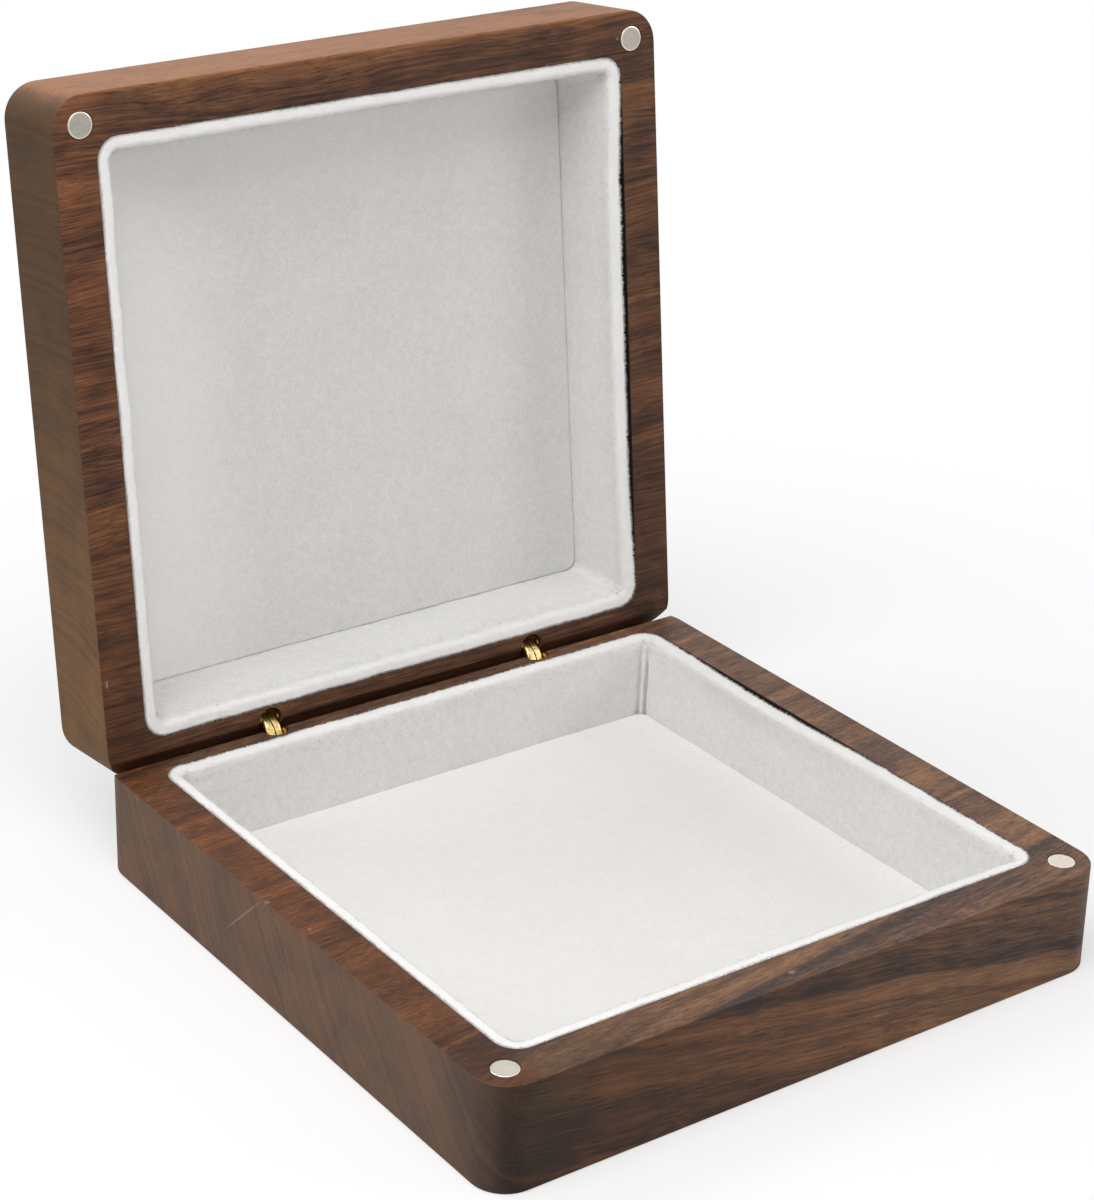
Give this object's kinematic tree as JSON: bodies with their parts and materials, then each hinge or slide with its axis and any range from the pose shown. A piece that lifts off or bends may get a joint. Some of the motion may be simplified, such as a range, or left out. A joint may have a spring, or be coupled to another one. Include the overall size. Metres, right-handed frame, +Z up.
{
  "type": "hinged jewelry box",
  "caption": "Square walnut jewelry box with rounded corners, white velvet lining, disc magnet catches and a lid that folds back on barrel hinges.",
  "frame": {"origin": "centre of the base's flat underside", "axes": "+Z up, front faces -Y, the hinges are at +Y, +X to the right seen from the front"},
  "size_m": [0.12, 0.1446, 0.1331],
  "materials": {
    "walnut": "satin oiled walnut, grain along X",
    "white_velvet": "short white pile",
    "black_card": "plain black cardboard",
    "nickel": "nickel plated",
    "brass": "polished brass",
    "steel_pin": "ground steel"
  },
  "bodies": {
    "base": {"base_shell": "walnut", "base_wall_card": "black_card", "base_wall_velvet": "white_velvet", "base_pad_board": "black_card", "base_pad_velvet": "white_velvet", "base_magnet_left": "nickel", "base_magnet_right": "nickel", "base_barrel_left": "brass", "base_barrel_right": "brass", "base_pin_left": "steel_pin", "base_pin_right": "steel_pin"},
    "hinge_links": {"hinge_leaf_left_outer": "brass", "hinge_leaf_left_inner": "brass", "hinge_leaf_right_outer": "brass", "hinge_leaf_right_inner": "brass"},
    "lid": {"lid_shell": "walnut", "lid_wall_card": "black_card", "lid_wall_velvet": "white_velvet", "lid_pad_board": "black_card", "lid_pad_velvet": "white_velvet", "lid_magnet_left": "nickel", "lid_magnet_right": "nickel", "lid_barrel_left": "brass", "lid_barrel_right": "brass", "lid_pin_left": "steel_pin", "lid_pin_right": "steel_pin"}
  },
  "joints": [
    {"name": "links_on_base", "type": "hinge", "parent": "base", "child": "hinge_links", "pos_m": [0, 0.0552, 0.0165], "axis": [1, 0, 0], "range_deg": [0, 48]},
    {"name": "lid_on_links", "type": "hinge", "parent": "hinge_links", "child": "lid", "pos_m": [0, 0.05832, 0.01931], "axis": [1, 0, 0], "range_deg": [0, 48]}
  ],
  "couplings": [
    {"joint": "links_on_base", "follows": "lid_on_links", "ratio": 1}
  ]
}
